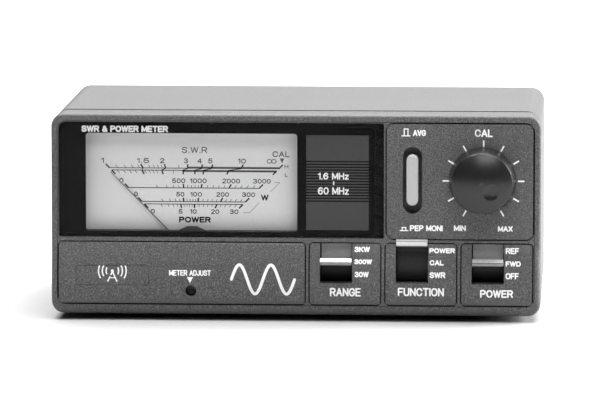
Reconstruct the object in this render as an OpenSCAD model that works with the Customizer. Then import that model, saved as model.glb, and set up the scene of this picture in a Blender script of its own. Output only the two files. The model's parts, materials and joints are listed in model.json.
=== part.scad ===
// Desktop SWR and power meter for a radio station: a moulded front, a steel case and a coupler at the back.
// Inside a module, x runs from the middle of the case to the right, y from the upper front face to the back
// and z from half the height of the case upwards.

/* [Case] */
// Width of the case
case_w = 155; // [153:0.5:160]
// Height of the case without its feet
case_h = 63; // [63:0.5:66]
// Depth from the upper front face to the back edge of the cover
case_d = 90; // [88:1:120]
// Depth of the moulded front bezel
bezel_d = 12.5; // [12:0.5:16]
// Rounding of the bezel's upper and side edges
edge_r = 1; // [0.8:0.1:1.2]
// Rounding of the bezel's lower front edge
chin_r = 2; // [1.5:0.25:2]
// Radius of the bezel's corners
corner_r = 4.2; // [3.5:0.1:4.5]
// Thickness of the steel cover and the rear panel
sheet_t = 1.2; // [0.8:0.1:1.2]
// How far the cover stands back from the bezel's outline
cover_inset = 0.1; // [0.05:0.05:0.3]
// Bend radius along the cover's long edges
cover_r = 4.5; // [4:0.5:5]
// How far the rubber feet lower the case's floor plate
foot_h = 3.2; // [3:0.1:5]

/* [Front panel] */
// Radius of the swell of the lower panel, seen from the side
swell_r = 58; // [54:1:70]
// Height of the foremost line of the swell
swell_z = -23; // [-24:0.5:-22]
// Height of the rib between the upper and the lower panels
rib_z = -7.8; // [-8:0.1:-7.6]
// Width of the grooves around the panels
groove_w = 0.4; // [0.3:0.05:0.5]
// Depth of the grooves around the panels
groove_t = 0.6; // [0.4:0.1:0.8]

/* [Display] */
// Left edge of the display window
window_x0 = -75.1; // [-75.2:0.1:-74.5]
// Right edge of the display window
window_x1 = 27.9; // [27:0.1:28]
// Thickness of the display window
window_t = 2; // [1.5:0.1:2.1]
// Middle of the dial across the case
dial_x = -33.1; // [-33.4:0.1:-32.8]
// Width of the dial opening
dial_w = 67.1; // [64:0.1:68]
// Height of the pointer's axis
pointer_z = -13.3; // [-13.5:0.1:-13]
// Length of the pointer above its axis
pointer_l = 37; // [34:0.5:38]
// Angle of the resting pointer from the vertical
pointer_rest = -44.8; // [-44.8:0.2:-40]

/* [Controls] */
// Middle of the calibration knob across the case
knob_x = 59.1; // [58.5:0.1:60]
// Height of the calibration knob's axis
knob_z = 11.7; // [11.2:0.1:12]
// Radius of the knob at its foot
knob_r = 10.6; // [10:0.1:11]
// Height of the knob
knob_h = 10.4; // [10:0.1:12]
// Angle of the knob's finger dimple, clockwise from the top
knob_rest = 134; // [-150:1:150]
// Middle of the push button across the case
button_x = 37; // [36.5:0.1:37.5]
// Width of the push button
button_w = 3.7; // [3.2:0.1:3.8]
// Length of the push button
button_l = 16; // [14:0.1:16]
// How far the push button stands out
button_out = 2.5; // [2:0.1:3]
// Middle of the range lever across the case
lever_x = 12.9; // [12.8:0.1:13]
// Distance from one lever to the next
lever_pitch = 24; // [23.8:0.1:24.1]
// Height of the levers' pivots
lever_z = -14.1; // [-14.2:0.1:-14]
// Distance from a lever's pivot to the middle of its tip
lever_l = 19; // [18.9:0.1:19.1]
// Tilt of a lever at its upper stop
lever_up = 19; // [17:0.5:19]

/* [Rear] */
// Distance of each coaxial socket from the middle of the case
socket_x = 25; // [24:0.5:28]
// Height of the coaxial sockets
socket_z = 4; // [2:0.5:6]
// Outside radius of a coaxial socket's thread
thread_r = 7.94; // [7.9:0.01:8]
// Length of a coaxial socket's thread
thread_l = 14; // [12:0.5:16]
// Bore radius of a coaxial socket's centre contact
contact_r = 2.02; // [2:0.01:2.1]
// Distance of the power jack from the middle of the case
jack_x = 57; // [54:0.5:58]
// Height of the power jack
jack_z = -6; // [-8:0.5:0]

/* [Hidden] */
$fn = 96;
eps = 0.01;
big = 400;
ahead = -8;
fit = 0.1;

// Case
half_w = case_w / 2;
half_h = case_h / 2;
floor_t = 1;
cover_x = half_w - cover_inset;
brow = 0.7;
bezel_z1 = half_h + brow;
cover_rise = 0.25;
cover_z0 = -half_h + cover_inset;
cover_z1 = bezel_z1 + cover_rise;
floor_z0 = cover_z0 + sheet_t;
floor_z1 = floor_z0 + floor_t;
flange_w = 10;
rear_y0 = case_d - 2;
rear_y1 = rear_y0 + sheet_t;
ear_x0 = half_w - 9;
ear_x1 = half_w - 3.5;
ear_mid = (ear_x0 + ear_x1) / 2;
ear_z = 22;
ear_t = 1.2;
ear_y = bezel_d + 4.2;
boss_r = 2.6;
screw_r = 1.25;
head_r = 2.5;
head_h = 1.4;
foot_r = 6;
foot_x = 60;
foot_y = [32, case_d - 11];
cover_screw_x = half_w - 6.5;
cover_screw_y = [38, case_d - 19];
chin_lift = 0.3;
lip_gap = 0.2;
lip_r = cover_r - sheet_t - lip_gap;
lip_z0 = -half_h + 5;
lip_wall = 1.6;
boss_l = 9;
cross_half = 1.4;
cross_w = 0.6;
cross_t = 0.7;

// Front panel
rim_side = 1.9;
rim_top = 1.5;
rim_bottom = 3.15;
open_x = half_w - rim_side;
open_z0 = -half_h + rim_bottom;
open_z1 = half_h - rim_top;
panel_gap = 0.12;
panel_y0 = -0.2;
panel_y1 = 3.2;
panel_x = open_x - panel_gap;
panel_z0 = open_z0 + panel_gap;
panel_z1 = open_z1 - panel_gap;
swell_drop = rib_z - swell_z;
swell_y = panel_y0 + sqrt(swell_r * swell_r - swell_drop * swell_drop);
ledge_w = 1.2;
ledge_t = 1.6;
ledge_r = 1.5;
open_r = 3;
rib_half = 0.4;
pad_r = 1.2;
panel_r = 2.9;
groove_r = 2.4;
plate_x = -58;
plate_z = -19;
plate_half_w = 11.5;
plate_half_h = 3;
plate_sink = 0.25;
plate_t = 0.2;
column_half = 11.15;
column_x = [for (i = [0 : 2]) lever_x + 2.85 + i * lever_pitch];

// Display
mask_t = 0.2;
window_z0 = rib_z + 0.8;
window_z1 = panel_z1 - 0.3;
window_r = 0.6;
window_edge = 0.3;
window_ledge = 3;
window_y1 = panel_y0 + window_t;
mask_y1 = window_y1 + mask_t;
dial_x0 = dial_x - dial_w / 2;
dial_x1 = dial_x + dial_w / 2;
dial_z0 = -5.3;
dial_z1 = 25.95;
dial_r = 1;
dial_y = 7.5;
dial_t = 0.5;
ridge_w = 0.45;

// Meter
meter_x0 = -68.2;
meter_x1 = 4.8;
meter_z0 = -26.8;
meter_z1 = 28;
meter_y0 = dial_y + dial_t;
meter_y1 = 26.5;
meter_wall = 1.5;
shroud_y0 = 3.6;
shroud_t = 0.7;
mound_w = 4.8;
mound_flat = 1.5;
mound_z = dial_z0 + 1.4;
meter_r = 1.5;
meter_post_x = 28;
meter_post_z = -8.5;
meter_post_r = 2;
clear_inset = 0.6;
clear_t = 1;
clear_y0 = mask_y1 + 1.5;
dial_edge = 0.5;
core_r = 4.5;
coil_r0 = 5;
coil_r1 = 6.1;
coil_w = 2.4;
yoke_r0 = 6.6;
yoke_r1 = 9;
move_y0 = 10;
move_y1 = 22;
coil_y0 = 8.9;
coil_y1 = 23.1;
coil_end = 0.8;
staff_r = 0.5;
bearing_gap = 0.06;
bridge_y0 = 5.2;
bridge_y1 = 6;
bridge_x = 14;
bridge_half = 2;
back_bridge_y = 24;
bracket_y0 = 14;
bracket_y1 = 18;
pointer_y0 = 6.5;
pointer_t = 0.25;
pointer_foot = 0.25;
pointer_end = 0.12;
tail_l = 6.5;
tail_half = 0.5;
hub_r = 1.5;
weight_r = 1.3;
spring_y0 = 8.2;
spring_w = 0.15;
zero_x = dial_x;
zero_z = pointer_z - 10.5;
zero_r = 1.5;
zero_y0 = 1;
zero_y1 = 4.4;
zero_flange_r = 2.3;
zero_pin = 1;
zero_pin_r = 0.4;
arm_y0 = 4.8;
arm_t = 0.25;
arm_ring_r = 2.2;
arm_end = -10.8;
lamp_r = 0.8;
lamp_l = 6;
lamp_x = 20;

// Knob and button
knob_gap = 0.9;
knob_y0 = panel_y0 - knob_gap;
knob_top_r = 9.55;
knob_wall_h = 7.9;
knob_dome_r = (knob_top_r * knob_top_r + pow(knob_h - knob_wall_h, 2)) / (2 * (knob_h - knob_wall_h));
dimple_r = 6;
dimple_off = 4.9;
dimple_sink = 1.25;
shaft_r = 3;
shaft_l = 7.2;
knob_hollow_r = 8;
knob_hollow = 3.8;
bush_r = 3.5;
bush_y0 = -2.4;
nut_t = 2;
pot_r = 8.2;
pot_y0 = 4.2;
pot_y1 = 13;
button_z = 11.85;
slot_w = 6;
slot_l = 21.2;
slot_down = 0.2;
button_travel = 2.5;
collar_y0 = 4.4;
collar_y1 = 5.4;
collar_w = 0.7;
plunger_r = 1.2;
plunger_y1 = 16.5;
button_body_x = 4.4;
button_body_y = 21;
button_body_z = 11.6;

// Lever switches
lever_y = -3.2 + lever_l;
drum_r = 13;
drum_t = 1.2;
drum_half = 50;
stalk_t = 1;
stalk_drop = 0.4;
lever_hub_r = 2.2;
lever_w = 9.6;
tip_w = 9.8;
tip_t = 2.2;
tip_h = 2.1;
tip_edge = 0.16;
slot_half = 5.1;
slot_z0 = -21.05;
slot_z1 = -8.2;
slot_r = 0.3;
arm_l = 5.2;
arm_r = 0.9;
arm_w = 3;
pin_r = 1;
slider_x = 2.5;
slider_y = 2.2;
slider_top = arm_l - 0.8;
slider_foot = arm_l + 3.4;
slider_slot_x = 2;
slider_slot = arm_l + 1.4;
slider_travel = arm_l * lever_up * PI / 180;
guide_y = 6;
guide_top = arm_l - 1.4;
guide_foot = arm_l + 4.2;
switch_x = 6.5;
switch_wall = 1.2;
switch_z = 12.5;
switch_back = 11;

// Coupler, boards and sockets
board_z0 = -25;
board_t = 1.6;
board_z1 = board_z0 + board_t;
board_x = 70;
board_y0 = 34;
spacer_y = [40, case_d - 12];
spacer_r = 3;
spacer_pin_r = 1.5;
wire_r = 0.6;
wire_y = 39;
wire_z = 8;
box_x = 45;
box_y0 = rear_y0 - 33;
box_z0 = -12;
box_z1 = 22;
box_t = 1;
socket_flange = 25.4;
flange_t = 1.6;
flange_y = rear_y1 + flange_t;
thread_y1 = flange_y + thread_l;
socket_body_r = 7;
socket_bore_r = 6.2;
socket_bore_l = 6;
flange_screw = 9.1;
contact_l = 9;
contact_y1 = thread_y1 - 1.2;
line_y = rear_y0 - 8;
line_r = 1.5;
contact_outer_r = 2.6;
core_x = 10;
core_half = 2.5;
ring_r = 7;
ring_bore_r = 3;
jack_r = 3.9;
jack_body_r = 5.2;
jack_bore_r = 2.8;
jack_bore_l = 9;
jack_pin_r = 1;
jack_y0 = rear_y0 - 11;
jack_y1 = rear_y1 + 3.8;

// Where the case's own axes lie in the part
knob_front = knob_h + knob_gap - panel_y0;
front_y = knob_front - (knob_front + thread_y1) / 2;
mid_z = foot_h - floor_z0;

// ---- shapes that repeat ----

module in_case() {
    translate([0, front_y, mid_z]) children();
}

module round_rect(x0, x1, z0, z1, r) {
    translate([x0 + r, z0]) square([x1 - x0 - 2 * r, z1 - z0]);
    translate([x0, z0 + r]) square([x1 - x0, z1 - z0 - 2 * r]);
    for (x = [x0 + r, x1 - r], z = [z0 + r, z1 - r]) translate([x, z]) circle(r = r);
}

// A drawing in x and z, made solid from y0 to y1
module upright(y0, y1) {
    translate([0, y1, 0]) rotate([90, 0, 0]) linear_extrude(y1 - y0) children();
}

// A drawing in y and z, made solid across x
module across(w) {
    rotate([90, 0, 90]) linear_extrude(w, center = true) children();
}

module plate(x0, x1, z0, z1, r, y0, y1) {
    upright(y0, y1) round_rect(x0, x1, z0, z1, r);
}

module block(x0, x1, y0, y1, z0, z1) {
    translate([x0, y0, z0]) cube([x1 - x0, y1 - y0, z1 - z0]);
}

module rod(x, z, r, y0, y1) {
    translate([x, y0, z]) rotate([-90, 0, 0]) cylinder(h = y1 - y0, r = r);
}

module post(x, y, r, z0, z1) {
    translate([x, y, z0]) cylinder(h = z1 - z0, r = r);
}

module stadium(w, l) {
    for (s = [-1, 1]) translate([0, s * (l - w) / 2]) circle(d = w);
    square([w, l - w], center = true);
}

// The swell of the lower panel, moved forward by grow
module swell(grow, x, z0, z1) {
    intersection() {
        translate([0, swell_y, swell_z]) rotate([0, 90, 0])
            cylinder(h = 2 * x, r = swell_r + grow, center = true, $fn = 180);
        block(-x, x, ahead, panel_y1, z0, z1);
    }
}

// A groove around one panel, cut groove_t deep below the surface
module groove(x0, x1, z0, z1, r) {
    g = groove_w;
    difference() {
        upright(ahead, panel_y0 + groove_t) difference() {
            round_rect(x0 - g, x1 + g, z0 - g, z1 + g, r + g);
            round_rect(x0, x1, z0, z1, r);
        }
        swell(-groove_t, half_w, -half_h, rib_z - rib_half);
    }
}

// ---- case ----

// The bezel's outline, drawn in by inset
module bezel_outline(inset, y0, y1) {
    x = half_w - inset;
    plate(-x, x, -half_h + inset, bezel_z1 - inset, corner_r - inset, y0, y1);
}

module front_bezel() {
    lip_x = cover_x - sheet_t - lip_gap;
    color("dimgray") in_case() difference() {
        union() {
            intersection() {
                union() {
                    minkowski() {
                        bezel_outline(edge_r, edge_r, bezel_d + edge_r);
                        sphere(r = edge_r, $fn = 32);
                    }
                    minkowski() {
                        intersection() {
                            swell(panel_y0 - chin_r, half_w, -half_h + chin_r + chin_lift, rib_z);
                            bezel_outline(chin_r, ahead, bezel_d);
                        }
                        sphere(r = chin_r, $fn = 32);
                    }
                }
                block(-half_w, half_w, ahead, bezel_d, -half_h, bezel_z1);
            }
            plate(-lip_x, lip_x, lip_z0, cover_z1 - sheet_t - lip_gap, lip_r, bezel_d - eps, ear_y);
        }
        difference() {
            plate(-open_x, open_x, open_z0, open_z1, open_r, ahead, big);
            difference() {
                plate(-open_x - 1, open_x + 1, open_z0 - 1, open_z1 + 1, open_r, panel_y1,
                      panel_y1 + ledge_t);
                plate(-open_x + ledge_w, open_x - ledge_w, open_z0 + ledge_w, open_z1 - ledge_w,
                      ledge_r, 0, big);
            }
            for (x = [-ear_mid, ear_mid], z = [-ear_z, ear_z]) {
                rod(x, z, boss_r, panel_y1, ear_y);
                block(min(x, sign(x) * (open_x + 1)), max(x, sign(x) * (open_x + 1)),
                      panel_y1, ear_y, z - 1, z + 1);
            }
            difference() {
                plate(-open_x - 1, open_x + 1, open_z0 - 1, open_z1 + 1, open_r, bezel_d - 2, ear_y);
                plate(-open_x + lip_wall, open_x - lip_wall, -half_h - 1, open_z1 - lip_wall, ledge_r,
                      0, big);
            }
        }
        for (x = [-ear_mid, ear_mid], z = [-ear_z, ear_z]) rod(x, z, screw_r, ear_y - boss_l, big);
    }
}

module control_panel() {
    color("gray") in_case() difference() {
        union() {
            plate(-panel_x, panel_x, panel_z0, panel_z1, panel_r, panel_y0, panel_y1);
            intersection() {
                swell(0, panel_x, panel_z0, rib_z);
                plate(-panel_x, panel_x, panel_z0, panel_z1, panel_r, ahead, panel_y1);
            }
        }
        window_outline(fit, ahead, mask_y1);
        plate(window_x0 + window_ledge, window_x1 - window_ledge, dial_z0 - 0.7, dial_z1 + 1.95,
              ledge_r, 0, big);
        groove(window_x1 + fit + ridge_w + groove_w, panel_x - groove_w, rib_z + rib_half + groove_w,
               panel_z1 - groove_w, groove_r);
        groove(-panel_x + groove_w, column_x[0] - column_half - 4 * groove_w, panel_z0 + groove_w,
               rib_z - rib_half - groove_w, pad_r);
        for (x = column_x)
            groove(x - column_half, min(x + column_half, panel_x - groove_w), panel_z0 + groove_w,
                   rib_z - rib_half - groove_w, pad_r);
        for (i = [0 : 2]) {
            x = lever_x + i * lever_pitch;
            plate(x - slot_half, x + slot_half, slot_z0, slot_z1, slot_r, ahead, big);
        }
        translate([button_x, 0, button_z - slot_down]) upright(ahead, big) stadium(slot_w, slot_l);
        rod(knob_x, knob_z, bush_r + fit, ahead, big);
        rod(zero_x, zero_z, zero_r + 0.25, ahead, big);
        nameplate_seat(fit);
    }
}

module nameplate_seat(gap) {
    w = plate_half_w + gap;
    h = plate_half_h + gap;
    difference() {
        plate(plate_x - w, plate_x + w, plate_z - h, plate_z + h, slot_r, ahead, 0);
        swell(-plate_sink, half_w, -half_h, rib_z);
    }
}

module nameplate() {
    color("darkgray") in_case() intersection() {
        nameplate_seat(0);
        swell(plate_t - plate_sink, half_w, -half_h, rib_z);
    }
}

// The window's outline, grown by gap; its upper left corner follows the panel's
module window_outline(gap, y0, y1) {
    e = window_edge - gap;
    intersection() {
        plate(window_x0 - gap, window_x1 + gap, window_z0 - gap, window_z1 + gap, window_r, y0, y1);
        plate(-panel_x + e, panel_x, panel_z0, panel_z1 - e, panel_r - e, y0, y1);
    }
}

module display_window() {
    color("black", 0.6) in_case()
        window_outline(0, panel_y0, window_y1);
}

module window_mask() {
    color("black") in_case() difference() {
        window_outline(0, window_y1, mask_y1);
        plate(dial_x0, dial_x1, dial_z0, dial_z1, dial_r, 0, big);
    }
}

module top_cover() {
    t = sheet_t;
    color("silver") in_case() difference() {
        upright(bezel_d, case_d) difference() {
            round_rect(-cover_x, cover_x, cover_z0, cover_z1, cover_r);
            round_rect(-cover_x + t, cover_x - t, cover_z0 + t, cover_z1 - t, cover_r - t);
            translate([-cover_x + flange_w, -half_h - 1]) square([2 * (cover_x - flange_w), 4]);
        }
        for (x = [-cover_screw_x, cover_screw_x], y = cover_screw_y)
            post(x, y, screw_r, -half_h - 1, 0);
    }
}

module ear(x0, x1, y0) {
    difference() {
        block(x0, x1, y0, y0 + ear_t, floor_z1 - eps, ear_z + 4);
        for (z = [-ear_z, ear_z]) rod((x0 + x1) / 2, z, screw_r, 0, big);
    }
}

module bottom_chassis() {
    color("silver") in_case() union() {
        difference() {
            block(-cover_x + cover_r, cover_x - cover_r, bezel_d + fit, rear_y1, floor_z0, floor_z1);
            for (x = [-cover_screw_x, cover_screw_x], y = cover_screw_y)
                post(x, y, screw_r, -half_h - 1, 0);
        }
        for (y = [ear_y, rear_y0 - ear_t]) {
            ear(-ear_x1, -ear_x0, y);
            ear(ear_x0, ear_x1, y);
        }
    }
}

module rear_panel() {
    color("silver") in_case() difference() {
        plate(-cover_x + sheet_t + fit, cover_x - sheet_t - fit, floor_z1, cover_z1 - sheet_t - fit,
              cover_r - sheet_t, rear_y0, rear_y1);
        for (x = [-socket_x, socket_x]) {
            rod(x, socket_z, socket_body_r, 0, big);
            flange_holes(x);
        }
        rod(jack_x, jack_z, jack_r, 0, big);
        for (x = [-ear_mid, ear_mid], z = [-ear_z, ear_z]) rod(x, z, screw_r, 0, big);
    }
}

module flange_holes(x) {
    for (dx = [-flange_screw, flange_screw], dz = [-flange_screw, flange_screw])
        rod(x + dx, socket_z + dz, screw_r, 0, big);
}

module rubber_feet() {
    color("black") in_case() for (x = [-foot_x, foot_x], y = foot_y)
        post(x, y, foot_r, floor_z0 - foot_h, floor_z0);
}

// A cross-head screw along +y, its head's outer face at y = 0
module screw(l) {
    difference() {
        union() {
            rod(0, 0, head_r, 0, head_h);
            rod(0, 0, screw_r, head_h - eps, head_h + l);
        }
        for (a = [0, 90]) rotate([0, a, 0])
            block(-cross_half, cross_half, ahead, cross_t, -cross_w / 2, cross_w / 2);
    }
}

module cover_screws() {
    color("dimgray") in_case() for (x = [-cover_screw_x, cover_screw_x], y = cover_screw_y)
        translate([x, y, cover_z0 - head_h]) rotate([90, 0, 0]) screw(4);
}

module bezel_screws() {
    color("silver") in_case() for (x = [-ear_mid, ear_mid], z = [-ear_z, ear_z])
        translate([x, ear_y + ear_t + head_h, z]) rotate([0, 0, 180]) screw(8);
}

module rear_screws() {
    color("dimgray") in_case() for (x = [-ear_mid, ear_mid], z = [-ear_z, ear_z])
        translate([x, rear_y1 + head_h, z]) rotate([0, 0, 180]) screw(5);
}

// ---- meter ----

module meter_case() {
    w = meter_wall;
    color([0.12, 0.12, 0.12]) in_case() {
        difference() {
            plate(meter_x0, meter_x1, meter_z0, meter_z1, meter_r, meter_y0, meter_y1);
            plate(meter_x0 + w, meter_x1 - w, meter_z0 + w, meter_z1 - w, dial_r, 0, meter_y1 - w);
        }
        for (x = [-meter_post_x, meter_post_x])
            rod(dial_x + x, meter_post_z, meter_post_r, meter_y0, meter_y1 - w + eps);
    }
}

module meter_cover() {
    t = clear_t;
    x0 = dial_x0 + clear_inset;
    x1 = dial_x1 - clear_inset;
    z0 = mound_z + 2 * fit;
    z1 = dial_z1 - dial_edge;
    color("lightblue", 0.4) in_case() difference() {
        plate(x0, x1, z0, z1, dial_edge, clear_y0, dial_y);
        block(x0 + t, x1 - t, clear_y0 + t, big, z0 - t, z1 - t);
    }
}

module dial_plate() {
    color("white") in_case()
        plate(meter_x0 + dial_edge, meter_x1 - dial_edge, pointer_z + 4.8, meter_z1 - 1.6, dial_r,
              dial_y, meter_y0);
}

module movement_shroud() {
    w = meter_wall;
    color([0.1, 0.1, 0.1]) in_case() difference() {
        union() {
            plate(meter_x0, meter_x1, meter_z0, dial_z0, meter_r, shroud_y0, dial_y);
            upright(shroud_y0, shroud_y0 + shroud_t) polygon([
                [dial_x - mound_w, dial_z0 - 1], [dial_x - mound_w, dial_z0], [dial_x - mound_flat, mound_z],
                [dial_x + mound_flat, mound_z], [dial_x + mound_w, dial_z0], [dial_x + mound_w, dial_z0 - 1]
            ]);
        }
        block(meter_x0 + w, meter_x1 - w, shroud_y0 + shroud_t, meter_y0 + 1, meter_z0 + w, dial_z0 + 1);
        rod(zero_x, zero_z, zero_r + bearing_gap, 0, big);
        rod(zero_x, zero_z, zero_flange_r + 3 * fit, shroud_y0 + shroud_t, big);
    }
}

module on_pointer() {
    in_case() translate([dial_x, 0, pointer_z]) children();
}

module magnet_yoke() {
    color("gray") on_pointer() difference() {
        rod(0, 0, yoke_r1, move_y0, move_y1);
        rod(0, 0, yoke_r0, 0, big);
    }
}

module core_magnet() {
    color("dimgray") on_pointer() rod(0, 0, core_r, move_y0, move_y1);
}

module core_holder() {
    color("goldenrod") on_pointer() intersection() {
        difference() {
            rod(0, 0, yoke_r0, move_y0 + 3, move_y1 - 3);
            rod(0, 0, core_r, 0, big);
        }
        block(-1.5, 1.5, 0, big, -10, 10);
    }
}

module movement_bridge() {
    h = bridge_half;
    color("goldenrod") on_pointer() difference() {
        union() {
            block(-bridge_x, bridge_x, bridge_y0, bridge_y1, -h, h);
            rod(0, 0, 1.2, bridge_y0 - 0.5, bridge_y0 + eps);
            block(-bridge_x, bridge_x, back_bridge_y, back_bridge_y + 1, -h, h);
            for (s = [-1, 1]) {
                translate([s * (bridge_x - 1), 0, 0]) block(-1, 1, bridge_y0, back_bridge_y + 1, -h, h);
                difference() {
                    translate([s * (bridge_x - 3), 0, 0]) block(-3, 3, bracket_y0, bracket_y1, -1.5, 1.5);
                    rod(0, 0, yoke_r1, 0, big);
                }
            }
        }
        rod(0, 0, staff_r + bearing_gap, bridge_y1 - 0.5, back_bridge_y + 0.7);
    }
}

module on_rested_pointer() {
    on_pointer() rotate([0, pointer_rest, 0]) children();
}

module pointer() {
    f = pointer_foot;
    e = pointer_end;
    w = tail_half;
    color("black") on_rested_pointer() difference() {
        union() {
            upright(pointer_y0, pointer_y0 + pointer_t)
                polygon([
                    [-f, 0], [-e, pointer_l], [e, pointer_l], [f, 0],
                    [w, 0], [w, -tail_l], [-w, -tail_l], [-w, 0]
                ]);
            rod(0, 0, hub_r, pointer_y0 - 0.2, pointer_y0 + 2 * pointer_t);
            rod(0, 0.5 - tail_l, weight_r, pointer_y0 - 0.1, pointer_y0 + 2 * pointer_t);
        }
        rod(0, 0, staff_r, 0, big);
    }
}

module moving_coil() {
    color("peru") on_rested_pointer() {
        for (s = [-1, 1]) translate([s * (coil_r0 + coil_r1) / 2, 0, 0])
            block(-(coil_r1 - coil_r0) / 2, (coil_r1 - coil_r0) / 2, coil_y0, coil_y1, -coil_w / 2,
                  coil_w / 2);
        for (y = [coil_y0, coil_y1 - coil_end])
            block(-coil_r1 + eps, coil_r1 - eps, y, y + coil_end, -coil_w / 2, coil_w / 2);
        rod(0, 0, staff_r, bridge_y1 - 0.3, coil_y0 + eps);
        rod(0, 0, staff_r, coil_y1 - eps, back_bridge_y + 0.5);
    }
}

function spiral(r0, r1, turns, w, n) = [
    for (i = [0 : n]) let (a = 360 * turns * i / n, r = r0 + (r1 - r0) * i / n + w) r * [cos(a), sin(a)],
    for (i = [n : -1 : 0]) let (a = 360 * turns * i / n, r = r0 + (r1 - r0) * i / n) r * [cos(a), sin(a)]
];

module hairspring() {
    color("goldenrod") on_pointer() upright(spring_y0, spring_y0 + 2 * spring_w)
        polygon(spiral(1, 3.6, 3, spring_w, 72));
}

module zero_arm() {
    y1 = arm_y0 + arm_t;
    color("goldenrod") on_pointer() difference() {
        union() {
            rod(0, 0, arm_ring_r, arm_y0, y1);
            block(-0.8, 0.8, arm_y0, y1, -8.5, -1.5);
            block(-1.4, 1.4, arm_y0, y1, arm_end, -8);
        }
        rod(0, 0, 1.27, 0, big);
        block(-zero_pin_r - 0.15, zero_pin_r + 0.15, 0, big, arm_end - 1, -8.6);
    }
}

module zero_screw() {
    color("dimgray") in_case() translate([zero_x, 0, zero_z]) difference() {
        union() {
            rod(0, 0, zero_r, zero_y0, zero_y1 + eps);
            rod(0, 0, zero_flange_r, zero_y1, zero_y1 + 0.25);
            rod(0, zero_pin, zero_pin_r, zero_y1 + 0.2, arm_y0 + 0.3);
        }
        block(-1.2, 1.2, 0, zero_y0 + 0.8, -0.25, 0.25);
    }
}

module meter_lamps() {
    color("ivory") in_case() for (x = [-lamp_x, lamp_x])
        translate([dial_x + x, 5.8, dial_z1 + 0.9]) rotate([0, 90, 0])
            cylinder(h = lamp_l, r = lamp_r, center = true);
}

// ---- calibration knob ----

module cal_knob() {
    color([0.1, 0.1, 0.1]) in_case() translate([knob_x, knob_y0, knob_z]) rotate([90, 0, 0]) difference() {
        intersection() {
            cylinder(h = knob_h, r1 = knob_r, r2 = knob_r - (knob_r - knob_top_r) * knob_h / knob_wall_h);
            translate([0, 0, knob_h - knob_dome_r]) sphere(r = knob_dome_r);
        }
        rotate(-knob_rest) translate([0, dimple_off, knob_h - dimple_sink + dimple_r])
            sphere(r = dimple_r);
        translate([0, 0, -1]) cylinder(h = knob_hollow + 1, r = knob_hollow_r);
        cylinder(h = shaft_l, r = shaft_r);
    }
}

module pot_shaft() {
    color("silver") in_case() rod(knob_x, knob_z, shaft_r, knob_y0 - shaft_l, pot_y1 - 2.2);
}

module cal_pot() {
    color("darkgray") in_case() difference() {
        union() {
            rod(knob_x, knob_z, pot_r, pot_y0, pot_y1);
            rod(knob_x, knob_z, bush_r, bush_y0, pot_y0 + eps);
            for (i = [-1 : 1]) block(knob_x + i * 5 - 0.6, knob_x + i * 5 + 0.6, pot_y1 - 4, pot_y1 - 3.2,
                                     knob_z - pot_r - 4, knob_z - pot_r + 3);
        }
        rod(knob_x, knob_z, shaft_r + 0.05, ahead, pot_y1 - 2);
    }
}

module pot_nut() {
    color("silver") in_case() difference() {
        translate([knob_x, panel_y0, knob_z]) rotate([90, 0, 0]) cylinder(h = nut_t, r = 5.2, $fn = 6);
        rod(knob_x, knob_z, bush_r, ahead, big);
    }
}

// ---- push button ----

module on_button() {
    in_case() translate([button_x, 0, button_z]) children();
}

module push_button() {
    color("lightgray") on_button() {
        upright(-button_out, collar_y0 + eps) stadium(button_w, button_l);
        upright(collar_y0, collar_y1) stadium(button_w + 2 * collar_w, button_l + 2 * collar_w);
    }
}

module button_plunger() {
    color("silver") on_button() rod(0, 0, plunger_r, collar_y1, plunger_y1);
}

module button_switch() {
    w = button_w / 2 + 2 * collar_w;
    h = button_l / 2 + 2 * collar_w;
    color([0.15, 0.15, 0.15]) on_button() difference() {
        block(-button_body_x, button_body_x, panel_y1, button_body_y, -button_body_z, button_body_z);
        upright(0, collar_y1) stadium(button_w + 0.4, button_l + 0.4);
        block(-w, w, collar_y0 - 0.2, collar_y1 + button_travel + 1.1, -h, h);
        rod(0, 0, plunger_r + bearing_gap, collar_y1, plunger_y1 + button_travel + 0.5);
    }
}

// ---- lever switches ----

module at_lever(i) {
    in_case() translate([lever_x + i * lever_pitch, lever_y, lever_z]) children();
}

module lever(i, tilt) {
    reach = drum_r * 1.5;
    color("gray") at_lever(i) rotate([tilt, 0, 0]) difference() {
        union() {
            across(lever_w) intersection() {
                difference() {
                    circle(r = drum_r);
                    circle(r = drum_r - drum_t);
                }
                polygon([[0, 0], [-reach, -reach * tan(drum_half)], [-reach, reach * tan(drum_half)]]);
            }
            across(lever_w) translate([-lever_l + tip_t / 2, -stalk_t / 2 - stalk_drop])
                square([lever_l - tip_t / 2, stalk_t]);
            across(arm_w) translate([-arm_r / 2, -arm_l]) square([arm_r, arm_l]);
            across(arm_w) translate([0, -arm_l]) circle(r = arm_r);
            across(lever_w) circle(r = lever_hub_r);
        }
        across(lever_w + 2) circle(r = pin_r + 0.04);
    }
}

module lever_tip(i, tilt) {
    h = tip_h / 2;
    color("white") at_lever(i) rotate([tilt, 0, 0]) translate([0, -lever_l - tip_t / 2, 0]) across(tip_w)
        polygon([[0, -tip_edge], [tip_t / 2, -h], [tip_t, -h], [tip_t, h], [tip_t / 2, h], [0, tip_edge]]);
}

module slider(i, shift) {
    g = arm_r + bearing_gap;
    color("ivory") at_lever(i) translate([0, shift, 0]) difference() {
        block(-slider_x, slider_x, -slider_y, slider_y, -slider_foot, -slider_top);
        block(-slider_slot_x, slider_slot_x, -g, g, -slider_slot, 0);
    }
}

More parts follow.
